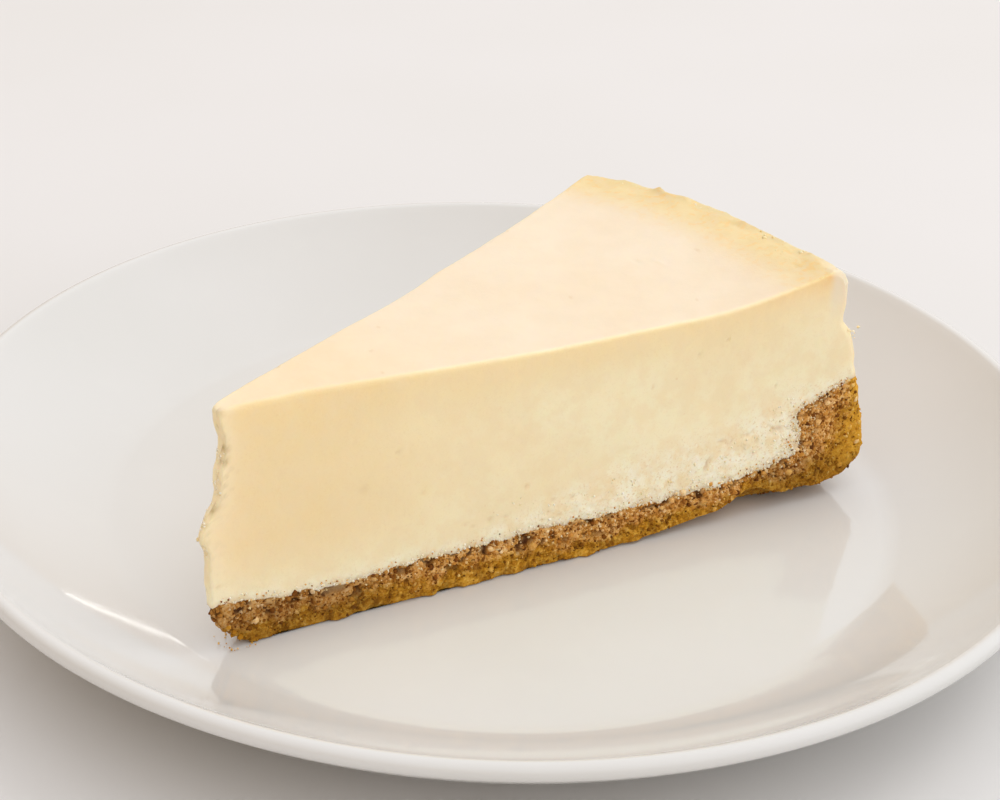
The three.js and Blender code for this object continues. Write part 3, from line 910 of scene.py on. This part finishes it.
def crumbMaterial(name, own=False):
    # own is for loose grains, which carry their own shade
    material, paint, where = newMaterial(name)
    fine = mottle(where, 0.45 if own else 0.9, 3, 0.65)
    if own:
        tone = painted(paint, "shade") * 0.85 + fine * 0.5 - 0.175
    else:
        cell = spots(where, 0.9, 1)
        shade = cell.node("ShaderNodeSeparateColor", None, {"Color": cell})
        tone = 0.18 + 0.58 * fine + 0.32 * shade + 0.12 * mottle(where, 6, 3)
        tone = tone - 0.36 * painted(paint, "grit") + 0.75 * (mottle(where, 0.4, 3, 0.6) - 0.5)
    dry, soaked = [
        paint.node("ShaderNodeValToRGB", {"stops": crumbTints[kind]}, {"Fac": tone})
        for kind in ("dry", "soaked")
    ]
    # dark upright streaks of the soaked part
    stretch = {0: where, 1: (1, 1, 0.35)}
    tall = paint.node("ShaderNodeVectorMath", {"operation": "MULTIPLY"}, stretch)
    butter = painted(paint, "butter")
    streak = mottle(tall, 1.6, 3, 0.6).ramp(0.5, 0.66) * butter
    layers = [
        (butter, soaked),
        (streak * 0.45, (104, 60, 8)),
        (painted(paint, "soot") * 0.34, (90, 48, 0)),
    ]
    if not own:
        layers += [
            # painted shade in the gaps and pits between the crumbs
            (painted(paint, "gap") * 0.92, (74, 36, 12)),
            # painted light on the crust's outer lower end
            (painted(paint, "glow") * 0.5, (230, 172, 56)),
            (painted(paint, "smear") * 0.6, (226, 190, 134)),
        ]
    finishMaterial(paint, {
        "Base Color": coats(paint, dry, layers),
        "Roughness": 0.62 + 0.25 * fine,
        "Specular IOR Level": 0.16,
        "Normal": bumps(paint, 0.6, 0.3, fine + 0.5 * mottle(where, 0.3)),
        "Subsurface Weight": 0.12,
        "Subsurface Radius": (1.0, 0.55, 0.2),
        "Subsurface Scale": 0.0008,
    })
    return material


def turns(rng, count):
    # random turns, as matrices, from random quaternions
    q = rng.normal(size=(count, 4))
    w, x, y, z = (q / np.linalg.norm(q, axis=1, keepdims=True)).T
    rows = [
        [1 - 2 * (y * y + z * z), 2 * (x * y - w * z), 2 * (x * z + w * y)],
        [2 * (x * y + w * z), 1 - 2 * (x * x + z * z), 2 * (y * z - w * x)],
        [2 * (x * z - w * y), 2 * (y * z + w * x), 1 - 2 * (x * x + y * y)],
    ]
    return np.array(rows).transpose(2, 0, 1)


def icosahedron():
    # its twelve corners, and a face for every three of them that are neighbours
    golden = (1 + math.sqrt(5)) / 2
    corners = []
    for a in (-1, 1):
        for b in (-golden, golden):
            corners += [(0, a, b), (a, b, 0), (b, 0, a)]
    corners = np.array(corners) / math.hypot(1, golden)
    apart = np.linalg.norm(corners[:, None] - corners[None], axis=2)
    joined = (apart > 0.1) & (apart < 1.2)
    faces = np.array([
        (a, b, c)
        for a in range(12)
        for b in range(a + 1, 12)
        for c in range(b + 1, 12)
        if joined[a, b] and joined[b, c] and joined[a, c]
    ])
    a, b, c = corners[faces].transpose(1, 0, 2)
    flip = (np.cross(b - a, c - a) * (a + b + c)).sum(1) < 0
    faces[flip] = faces[flip][:, ::-1]
    return corners, faces


def crumbCloud(c, rng, centres, sizes, **tints):
    # one rough lump at each centre: an icosahedron with its corners pushed in and out,
    # squeezed along a random axis and turned at random, with its own tints
    corners, faces = icosahedron()
    count = len(centres)
    shape = corners[None] * (1 + c["edges"] * rng.normal(size=(count, len(corners), 1)))
    squeeze = 1 - c["flatness"] * rng.random((count, 1, 3))
    shape = np.einsum("nij,nkj->nki", turns(rng, count), shape * squeeze)
    points = onPlate(centres)[:, None] + shape * sizes[:, None, None]
    index = faces[None] + len(corners) * np.arange(count)[:, None, None]
    values = {label: np.repeat(value, len(corners)) for label, value in tints.items()}
    return points.reshape(-1, 3), [index.reshape(-1, 3)], values


def randomSizes(rng, limits, count, power=2):
    # more small ones than large ones: low + (high - low) * random^power
    low, high = limits
    return low + (high - low) * rng.random(count) ** power


def randomShades(rng, mean, spread, count):
    return np.clip(mean + spread * rng.normal(size=count), 0, 1)


def scatterOn(rng, skin, count, face):
    # random places on one face of a block, by area and away from its gaps. face gives s, v and
    # t for two random shares; the area of each try comes from small steps along both shares.
    a, b = rng.random((2, 12 * count))
    step = 0.002
    here, tints = skin(*face(a, b))
    alongA = skin(*face(np.minimum(a + step, 1), b))[0] - here
    alongB = skin(*face(a, np.minimum(b + step, 1)))[0] - here
    area = np.linalg.norm(np.cross(alongA, alongB), axis=1)
    area = np.minimum(area, np.percentile(area, 97)) * (1 - 0.97 * ease(tints["gap"], 0.15, 0.5))
    area = area * (1 - 0.55 * tints["butter"]) * (0.15 + 0.85 * ease(here[:, 2], 0.3, 1.8))
    chosen = rng.choice(len(a), count, replace=False, p=area / area.sum())
    return here[chosen], {label: value[chosen] for label, value in tints.items()}, b[chosen]


grains = {
    "flatness": 0.35,
    "edges": 0.22,
    # two sizes of grain: seed, size limits, and how many are on the near face, the far face,
    # the baked side and the tip
    "crustGrains": (7, (0.16, 0.4), (2600, 500, 1200, 90)),
    "crustCrumbs": (8, (0.35, 0.7), (460, 90, 220, 22)),
    "darkShare": (0.05, 0.16),
}


def crustFaces(a, b):
    # the near face, the far face, the baked side and the tip, for two shares each
    one = np.ones_like(a)
    return [(a, -one, b), (a, one, b), (0.66 + 0.34 * a, 2 * b - 1, 0 * a), (0 * a, 2 * a - 1, b)]


def crustGrains(seed, limits, counts):
    # grains strewn over the crust. Light ones and a few dark ones, more of them dark where
    # cream and crust meet.
    rng = np.random.default_rng(seed)
    centres, level, glow, soot = [], [], [], []
    for number, count in enumerate(counts):
        place, tints, height = scatterOn(
            rng, crustSkin, count, lambda a, b: crustFaces(a, b)[number]
        )
        centres.append(place)
        glow.append(tints["glow"])
        soot.append(tints["soot"])
        level.append(0.15 + 0 * height if number == 2 else height)
    centres, level, glow, soot = map(np.concatenate, (centres, level, glow, soot))
    count = len(centres)
    sizes = randomSizes(rng, limits, count, 1.8)
    patch = lumps(centres.T, 2.6, crust["seeds"]["grain"])
    # glow is painted light: grains at the crust's outer lower end are made lighter
    shade = 0.4 + 0.12 * level + 0.2 * patch + 0.2 * glow + 0.23 * rng.normal(size=count)
    least, more = grains["darkShare"]
    dark = rng.random(count) < least + more * ease(level, 0.5, 0.95)
    shade = np.clip(np.where(dark, 0.02 + 0.14 * rng.random(count), shade), 0, 1)
    butter = butterShare(centres.T, level)
    return crumbCloud(grains, rng, centres, sizes, shade=shade, butter=butter, soot=soot)


# pale crumbs of cream: along the line to the crust, in the crumbly zone, on the torn tip, on
# the little step of the baked side and sunk into the crust's upper part
creamCrumbs = {
    "seed": 23,
    "counts": {"line": 520, "zone": 260, "tip": 60, "far": 60, "step": 18, "sunk": 320},
    "size": (0.13, 0.42),
    # shares of the filling's height, and of the crust's for the sunk ones
    "lineReach": 0.075,
    "zoneReach": 0.3,
    "sunkReach": 0.3,
    "sunkTan": 0.55,
    "step": (125.0, 34.2, 1.2),
    "flatness": 0.45,
    "edges": 0.2,
}

strayCrumbs = {
    "seed": 27,
    "count": 320,
    "size": (0.1, 0.34),
    "reach": 0.08,
    "flatness": 0.35,
    "edges": 0.22,
}

rimFlakes = {
    "seed": 29,
    "count": 70,
    "size": (0.3, 0.7),
    # the crest's radius and how far in they reach
    "reach": (121.2, 1.8),
    "sink": 0.6,
    "flatness": 0.5,
    "edges": 0.24,
}

fallenCrumbs = {
    "seed": 31,
    "count": 24,
    "size": (0.1, 0.28),
    # they lie on an arc about the tip: its centre on the slice's axis, the angles between
    # which it runs, the smallest radius and the spread outwards
    "centre": 3.6,
    "arc": (70, 290),
    "reach": (2.4, 1.0),
    "flatness": 0.3,
    "edges": 0.2,
}

# larger crumbs that show singly: r, v, height, size, shade, butter
singleCrumbs = {
    "seed": 37,
    "places": [
        (-0.5, -0.7, 5.6, 0.8, 0.42, 0.35), (-0.4, -0.2, 6.2, 0.6, 0.3, 0.2),
        (-0.9, -0.4, 5.0, 0.5, 0.6, 0.5), (0.4, -0.9, 4.4, 0.75, 0.5, 0.8),
        (0.6, -0.5, 3.7, 0.5, 0.2, 0.8), (1.4, -1.0, 3.0, 0.7, 0.3, 0.9),
        (2.0, -0.8, 2.5, 0.5, 0.5, 1.0), (2.6, -1.0, 1.6, 0.65, 0.4, 1.0),
        (-0.7, 0.2, 4.8, 0.8, 0.35, 0.6), (0.4, 0.0, 3.4, 0.75, 0.45, 0.9),
        (1.7, -0.4, 2.0, 0.65, 0.4, 1.0), (5.6, -1.0, 4.2, 0.85, 0.85, 0.0),
        (59.1, -1.0, 4.7, 1.05, 0.62, 0.4), (50.6, -1.0, 6.4, 0.7, 0.9, 0.0),
        (90.6, -1.0, 8.3, 0.85, 1.0, 0.0), (88.2, -1.0, 7.0, 0.7, 0.7, 0.0),
        (96.5, -1.0, 8.6, 0.7, 0.6, 0.2), (108.2, -1.0, 8.2, 0.75, 0.55, 0.3),
        (114.0, -1.0, 7.2, 0.8, 0.7, 0.4), (119.6, -1.0, 16.6, 0.8, 0.75, 0.0),
        (121.4, -1.0, 20.4, 0.7, 0.85, 0.0), (123.0, -1.0, 14.0, 0.75, 0.6, 0.4),
        (127.8, -1.0, 19.8, 0.7, 0.95, 0.2), (129.4, -1.0, 10.2, 0.7, 0.9, 0.3),
        (126.0, -1.0, 6.0, 0.8, 0.6, 0.9),
    ],
    "flatness": 0.3,
    "edges": 0.16,
}


def overCrust(rng, count, v, span, reach, power):
    # on the cream of the near or far face, more of them close to the crust:
    # t = reach * random^power
    start, end = span
    s = start + (end - start) * rng.random(count)
    t = reach * rng.random(count) ** power
    return fillingSkin(s, v + 0 * s, t)[0]


def creamCrumbCloud():
    c, number = creamCrumbs, creamCrumbs["counts"]
    rng = np.random.default_rng(c["seed"])
    line = overCrust(rng, number["line"], -1, (0, 0.99), c["lineReach"], 1.6)
    zone = overCrust(rng, number["zone"], -1, (0.3, 0.92), c["zoneReach"], 1.3)
    far = overCrust(rng, number["far"], 1, (0, 0.99), c["lineReach"], 1.6)
    v = 2 * rng.random(number["tip"]) - 1
    t = 0.35 + 0.5 * rng.random(number["tip"])
    tip = fillingSkin(0 * t, v, t)[0]
    r, z, spread = c["step"]
    place = rng.normal(size=(number["step"], 3)) * (0.4, 0.5, 0.6) * spread
    step = np.stack(wedgePoint(np.array(r), z, np.array(-0.985)), -1) + place
    s = rng.random(number["sunk"]) ** 0.6
    sunk = crustSkin(s, -1 + 0 * s, 1 - c["sunkReach"] * rng.random(number["sunk"]) ** 1.5)[0]
    centres = np.concatenate([line, zone, far, tip, step, sunk])
    sizes = randomSizes(rng, c["size"], len(centres))
    shade = 0.62 + 0.24 * rng.normal(size=len(centres))
    shade[-number["sunk"]:] -= c["sunkTan"]
    return crumbCloud(c, rng, centres, sizes, shade=np.clip(shade, 0, 1))


def strayCrumbCloud():
    # crumbs of the crust that stick to the cream just over it
    c = strayCrumbs
    rng = np.random.default_rng(c["seed"])
    centres = overCrust(rng, c["count"], -1, (0, 0.99), c["reach"], 1.5)
    sizes = randomSizes(rng, c["size"], c["count"])
    shade = randomShades(rng, 0.5, 0.28, c["count"])
    return crumbCloud(c, rng, centres, sizes, shade=shade, butter=0 * shade)


def rimFlakeCloud():
    c = rimFlakes
    rng = np.random.default_rng(c["seed"])
    crest, spread = c["reach"]
    r = crest - spread * abs(rng.normal(size=c["count"]))
    v = 1.96 * rng.random(c["count"]) - 0.98
    r = r - cornerInset(np.ones_like(v), v)
    sizes = randomSizes(rng, c["size"], c["count"])
    centres = np.stack(wedgePoint(r, topHeight(r, v) - c["sink"] * sizes, v), -1)
    return crumbCloud(c, rng, centres, sizes, shade=randomShades(rng, 0.6, 0.25, c["count"]))


def fallenCrumbCloud():
    # on the plate around the slice's tip
    c, count = fallenCrumbs, fallenCrumbs["count"]
    rng = np.random.default_rng(c["seed"])
    start, end = np.radians(c["arc"])
    turn = start + (end - start) * rng.random(count)
    nearest, spread = c["reach"]
    away = nearest + spread * abs(rng.normal(size=count))
    sizes = randomSizes(rng, c["size"], count)
    x, y = c["centre"] + away * np.cos(turn), away * np.sin(turn)
    centres = np.stack([x, y, 0.45 * sizes], -1)
    shade = randomShades(rng, 0.75, 0.2, count)
    points, faces, tints = crumbCloud(c, rng, centres, sizes, shade=shade)
    tints["butter"] = np.repeat(rng.random(count), len(points) // count)
    return points, faces, tints


def singleCrumbCloud():
    r, v, z, sizes, shade, butter = np.array(singleCrumbs["places"]).T
    centres = np.stack(wedgePoint(r, z, v), -1)
    rng = np.random.default_rng(singleCrumbs["seed"])
    return crumbCloud(singleCrumbs, rng, centres, sizes, shade=shade, butter=butter)


# torn cream and the toasted flakes of the rim
paleTints = {
    "creamCrumbs": [
        (0, (222, 186, 126)), (0.3, (242, 220, 172)), (0.7, (250, 238, 206)), (1, (255, 248, 230)),
    ],
    "rimFlakes": [
        (0, (226, 188, 124)), (0.35, (238, 210, 150)), (0.7, (246, 229, 184)), (1, (253, 244, 222)),
    ],
}


def paleCrumbMaterial(name):
    material, paint, where = newMaterial(name + "Skin")
    fine = mottle(where, 0.5, 3, 0.6)
    tone = painted(paint, "shade") * 0.85 + fine * 0.3 - 0.075
    finishMaterial(paint, {
        "Base Color": paint.node("ShaderNodeValToRGB", {"stops": paleTints[name]}, {"Fac": tone}),
        "Roughness": 0.55 + 0.2 * fine,
        "Normal": bumps(paint, 0.4, 0.2, fine),
        "Subsurface Weight": 0.3,
        "Subsurface Radius": (1.0, 0.72, 0.38),
        "Subsurface Scale": 0.001,
    })
    return material


plate = {
    "radius": 105.0,
    "wellHeight": 6.0,
    "wellRadius": 72.0,
    "thickness": 3.2,
    "creaseRadius": 14.0,
    "creaseSlope": 17,
    "rimSlope": 43,
    "footOuter": 60.0,
    "footWidth": 5.0,
    "footDraft": 1.5,
    "footRecess": 2.2,
    "wellRings": (66.0, 52.0, 36.0, 20.0, 8.0),
    "segments": 240,
    "creaseSteps": 8,
    "wallSteps": 18,
    "lipSteps": 14,
    "inset": 0.03,
}


def wallSection(depth):
    # crease arc, then the wide wall arc that meets the lip at the rim's slope, at a depth
    # under the upper face
    p = plate
    slope, rim = math.radians(p["creaseSlope"]), math.radians(p["rimSlope"])
    creaseHeight = p["wellHeight"] + p["creaseRadius"]
    creaseEnd = p["wellRadius"] + p["creaseRadius"] * math.sin(slope)
    lipStart = p["radius"] - p["thickness"] / 2 * (1 + math.sin(rim))
    wallRadius = (lipStart - creaseEnd) / (math.sin(rim) - math.sin(slope))
    centreR = creaseEnd - wallRadius * math.sin(slope)
    centreZ = creaseHeight + (wallRadius - p["creaseRadius"]) * math.cos(slope)
    crease = slope * np.linspace(0, 1, p["creaseSteps"] + 1)
    wall = slope + (rim - slope) * np.linspace(0, 1, p["wallSteps"] + 1)[1:]
    creaseReach, wallReach = p["creaseRadius"] + depth, wallRadius + depth
    r = [p["wellRadius"] + creaseReach * np.sin(crease), centreR + wallReach * np.sin(wall)]
    z = [creaseHeight - creaseReach * np.cos(crease), centreZ - wallReach * np.cos(wall)]
    return np.stack([np.concatenate(r), np.concatenate(z)], 1)


def plateProfile():
    # from the axis under the foot, out round the lip and back to the axis
    p = plate
    under, inner = wallSection(p["thickness"]), wallSection(0)[::-1]
    middle = (under[-1] + inner[0]) / 2
    turn = math.radians(p["rimSlope"]) - math.pi / 2
    turn = turn + math.pi * np.linspace(0, 1, p["lipSteps"] + 1)[1:-1]
    lip = middle + p["thickness"] / 2 * np.stack([np.cos(turn), np.sin(turn)], 1)
    footOuter, draft, recess = p["footOuter"], p["footDraft"], p["footRecess"]
    footInner = footOuter - p["footWidth"]
    belly = p["wellHeight"] - p["thickness"]
    foot = [
        (footInner - draft - 14, recess),
        (footInner - draft - 0.8, recess),
        (footInner - draft + 0.1, recess - 0.35),
        (footInner - 0.35, 0.35),
        (footInner + 0.3, 0.02),
        (footInner + 1.0, 0),
        (footOuter - draft - 0.7, 0),
        (footOuter - draft + 0.2, 0.2),
        (footOuter - 0.25, belly - 0.9),
        (footOuter + 0.7, belly - 0.12),
        (footOuter + 2.2, belly),
    ]
    well = [(radius, p["wellHeight"]) for radius in p["wellRings"]]
    return np.concatenate([foot, under, lip, inner, well])


def lathe(profile, segments, poles):
    # the profile carried round the axis, closed at both poles with a fan
    around = np.arange(segments)
    after = (around + 1) % segments
    angle = around * 2 * math.pi / segments
    r, z = profile[:, :1], profile[:, 1:]
    points = np.stack([r * np.cos(angle), r * np.sin(angle), z + 0 * angle], -1).reshape(-1, 3)
    ring = segments * np.arange(len(profile) - 1)[:, None]
    corners = [ring + around, ring + after, ring + segments + after, ring + segments + around]
    quads = np.stack([c.ravel() for c in corners], 1)
    low = 0 * around + len(points)
    last = len(points) - segments
    fans = [
        np.stack([after, around, low], 1),
        np.stack([last + around, last + after, low + 1], 1),
    ]
    return np.concatenate([points, [(0, 0, pole) for pole in poles]]), [quads, *fans]


def plateShape():
    profile = plateProfile()
    profile[:, 0] *= (plate["radius"] - plate["inset"]) / plate["radius"]
    return *lathe(profile, plate["segments"], (plate["footRecess"], plate["wellHeight"])), {}


def porcelainMaterial():
    material, paint, where = newMaterial("glazedPorcelain")
    broad = mottle(where, 60)
    height = paint.node("ShaderNodeSeparateXYZ", None, {"Vector": where}, 2)
    smear = mottle(where, 9, 5, 0.62).ramp(0.5, 0.75)
    bare = 1 - height.ramp(0.00015, 0.0006)
    glaze = blend(paint, broad.ramp(0.3, 0.7), (218, 218, 216), (215, 215, 212))
    tone = 0.75 * mottle(where, 26) + 0.2 * broad + 0.05 * mottle(where, 5)
    layers = [(smear * 0.12, (223, 224, 220)), (bare, (214, 206, 193))]
    finishMaterial(paint, {
        "Base Color": coats(paint, glaze, layers),
        "Roughness": 0.09 + 0.05 * smear + 0.6 * bare,
        "Normal": bumps(paint, 0.25, 0.4, tone),
        "IOR": 1.5,
        "Coat Weight": 0.25,
        "Coat Roughness": 0.04,
    })
    return material


def buildCrumbs():
    crumb = crumbMaterial("crumbGrain", own=True)
    for name in ("crustGrains", "crustCrumbs"):
        addPiece(name, crustGrains(*grains[name]), crumb, "crust")
    addPiece("strayCrumbs", strayCrumbCloud(), crumb, "crust")
    addPiece("singleCrumbs", singleCrumbCloud(), crumb, "crust")
    addPiece("fallenCrumbs", fallenCrumbCloud(), crumb, "crust")
    addPiece("creamCrumbs", creamCrumbCloud(), paleCrumbMaterial("creamCrumbs"), "filling")
    addPiece("rimFlakes", rimFlakeCloud(), paleCrumbMaterial("rimFlakes"), "filling")


def placeCamera():
    elevation, roll = math.radians(camera["elevation"]), math.radians(camera["roll"])
    back = np.array([0, -math.cos(elevation), math.sin(elevation)])
    right = np.array([1.0, 0, 0])
    up = np.cross(right, -back)
    data = bpy.data.cameras.new("viewer")
    data.lens, data.sensor_width = camera["lens"], camera["sensor"]
    data.clip_start, data.clip_end = 0.01, 50
    viewer = bpy.data.objects.new("viewer", data)
    bpy.context.scene.collection.objects.link(viewer)
    matrix = np.eye(4)
    matrix[:3, 0] = right * math.cos(roll) + up * math.sin(roll)
    matrix[:3, 1] = up * math.cos(roll) - right * math.sin(roll)
    matrix[:3, 2] = back
    matrix[:3, 3] = (np.array(camera["target"]) + back * camera["distance"]) * millimetre
    viewer.matrix_world = matrix.T.tolist()
    bpy.context.scene.camera = viewer


def direction(azimuth, elevation):
    a, e = math.radians(azimuth), math.radians(elevation)
    return np.array([math.cos(a) * math.cos(e), math.sin(a) * math.cos(e), math.sin(e)])


def areaLight(name, light):
    # faces the middle of the scene, leaning about that line
    data = bpy.data.lights.new(name, "AREA")
    data.shape = "RECTANGLE"
    data.size, data.size_y = light["size"]
    data.energy = light["power"]
    data.color = colour(*light["tint"])[:3]
    lamp = bpy.data.objects.new(name, data)
    bpy.context.scene.collection.objects.link(lamp)
    place = direction(light["azimuth"], light["elevation"]) * light["distance"]
    lamp.location = place
    toward = -Vector(place)
    turn = toward.to_track_quat("-Z", "Y")
    turn.rotate(Quaternion(toward, math.radians(light["lean"])))
    lamp.rotation_euler = turn.to_euler()
    lamp.visible_camera = False
    lamp.visible_glossy = light["glossy"]


def buildStudio():
    corners = np.array([(-1.0, -1, 0), (1, -1, 0), (1, 1, 0), (-1, 1, 0)])
    corners = corners * studio["floorSize"] / 2 / millimetre
    corners[:, 2] = -studio["floorDepth"]
    material, paint, where = newMaterial("paleTable")
    table = blend(paint, mottle(where, 120).ramp(0.3, 0.7), *studio["floorColours"])
    finishMaterial(paint, {"Base Color": table, "Roughness": 0.55, "IOR": 1.4})
    faces = [np.array([(0, 1, 2, 3)])]
    floor = meshPiece("paleFloor", corners, faces, {}, material, smooth=False)

    world = bpy.data.worlds.new("softRoom")
    bpy.context.scene.world = world
    world.use_nodes = True
    world.node_tree.nodes.clear()
    air = Wire(world.node_tree)
    toward = air.node("ShaderNodeTexCoord", output=0)
    axis = direction(studio["glowAzimuth"], studio["glowElevation"])
    both = {0: toward, 1: axis}
    facing = air.node("ShaderNodeVectorMath", {"operation": "DOT_PRODUCT"}, both, 1)
    share = facing.ramp(*studio["glowFade"])
    sky = blend(air, share, studio["dimSky"], studio["brightSky"])
    strength = studio["dimStrength"] + (studio["brightStrength"] - studio["dimStrength"]) * share
    glow = air.node("ShaderNodeBackground", None, {"Color": sky, "Strength": strength})
    air.node("ShaderNodeOutputWorld", None, {"Surface": glow})
    for name, light in studio["lights"].items():
        areaLight(name, light)
    bpy.context.scene.view_settings.view_transform = "Standard"
    print("made the studio")


placeCamera()
buildStudio()
addPiece("porcelainPlate", plateShape(), porcelainMaterial(), "plate", stands=True)
cream = blockShape(filling, fillingSkin)
addPiece("creamFilling", cream, creamMaterial(), "filling", stands=True)
slab = blockShape(crust, crustSkin)
addPiece("crumbCrust", slab, crumbMaterial("crumbSlab"), "crust", stands=True)
buildCrumbs()
